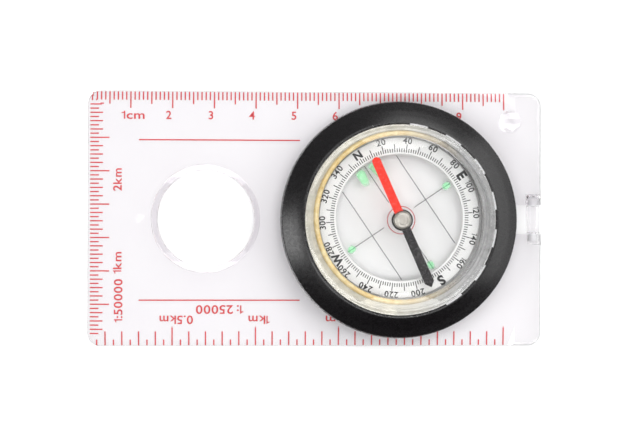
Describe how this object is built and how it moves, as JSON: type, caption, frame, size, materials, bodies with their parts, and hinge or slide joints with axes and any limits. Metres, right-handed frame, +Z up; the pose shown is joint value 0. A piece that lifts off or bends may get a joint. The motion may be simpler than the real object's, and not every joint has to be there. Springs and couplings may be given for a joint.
{
  "type": "baseplate compass",
  "caption": "Clear baseplate compass with ruler edges, a magnifier, a lanyard bar and a black turning bezel round a capsule with a dial and a swinging red and black needle.",
  "frame": {"origin": "middle of the plate's flat underside", "axes": "+X along the plate, from the zero of the centimetre scale to the lanyard bar; +Y across the plate, towards the centimetre scale; +Z up, out of the dial"},
  "size_m": [0.1087, 0.061, 0.0092],
  "materials": {
    "clear_acrylic": "clear, polished",
    "lens_acrylic": "optically clear",
    "black_plastic": "satin",
    "white_nylon": "satin",
    "amber_seal": "smooth",
    "dial_white": "satin",
    "steel": "ground",
    "brass": "turned",
    "luminous_green": "matt",
    "needle_red": "red north half, black south half, satin paint",
    "cap_silver": "satin"
  },
  "bodies": {
    "base": {"baseplate": "clear_acrylic", "magnifier_lens": "lens_acrylic", "lanyard_bar": "clear_acrylic", "bumper_stud": "clear_acrylic"},
    "housing": {"bezel_ring": "black_plastic", "retaining_ring": "black_plastic", "friction_ring": "white_nylon", "capsule_base": "clear_acrylic", "capsule_cover": "clear_acrylic", "capsule_seal": "amber_seal", "dial_ring": "dial_white", "fill_plug": "dial_white", "pivot_pin": "steel", "lume_north_left": "luminous_green", "lume_north_right": "luminous_green", "lume_east": "luminous_green", "lume_south": "luminous_green", "lume_west": "luminous_green"},
    "needle": {"needle_blade": "needle_red", "jewel_cup": "brass", "needle_cap": "cap_silver"}
  },
  "joints": [
    {"name": "bezel_turn", "type": "hinge", "parent": "base", "child": "housing", "pos_m": [0.02, -0.00018, 0.0033], "axis": [0, 0, 1], "continuous": true},
    {"name": "needle_swing", "type": "hinge", "parent": "housing", "child": "needle", "pos_m": [0.02062, -0.00024, 0.0053], "axis": [0, 0, 1], "continuous": true}
  ]
}
